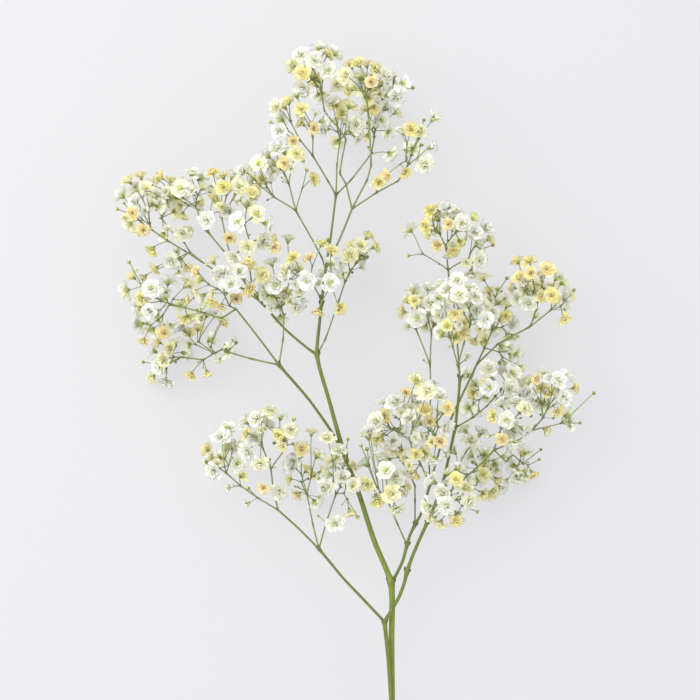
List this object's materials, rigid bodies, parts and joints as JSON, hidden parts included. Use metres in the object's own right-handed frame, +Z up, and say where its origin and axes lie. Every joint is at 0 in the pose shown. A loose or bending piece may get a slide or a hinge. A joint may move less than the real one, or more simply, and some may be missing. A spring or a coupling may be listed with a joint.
{
  "type": "gypsophila stem",
  "caption": "Cut gypsophila stem lying on a surface, branched green stems ending in airy sprays of small double blooms.",
  "frame": {"origin": "middle of the bounding box's bottom face, on the surface that the stem lies on", "axes": "+Y along the stem from the cut end to the flower head, +Z up from the surface"},
  "size_m": [0.288, 0.541, 0.1109],
  "materials": {
    "stem_green": "satin",
    "petals": "matte"
  },
  "bodies": {
    "root": {"stem": "stem_green", "spray_head_left": "petals", "spray_head_middle": "petals", "spray_head_right": "petals", "spray_crown_left": "petals", "spray_crown_middle": "petals", "spray_crown_right": "petals", "spray_left_thin": "petals", "spray_collar": "petals", "spray_middle_right": "petals", "spray_ridge_tip": "petals", "spray_ridge_middle": "petals", "spray_ridge_right": "petals", "spray_far_left": "petals", "spray_left_shoulder": "petals", "spray_left_low": "petals", "spray_left_inner": "petals", "spray_left_bottom": "petals", "spray_inner_left": "petals", "spray_low_left_tip": "petals", "spray_low_left_top": "petals", "spray_low_left_middle": "petals", "spray_low_left_right": "petals", "spray_centre_left": "petals", "spray_centre_rise": "petals", "spray_centre_top": "petals", "spray_low_right": "petals", "spray_right_low": "petals", "spray_right_fan": "petals", "spray_right_tip": "petals", "spray_right_under": "petals", "spray_right_middle": "petals", "spray_upper_left_rise": "petals", "spray_upper_stalks": "petals", "spray_upper_right": "petals", "spray_far_right": "petals", "spray_top_right": "petals"}
  },
  "joints": []
}
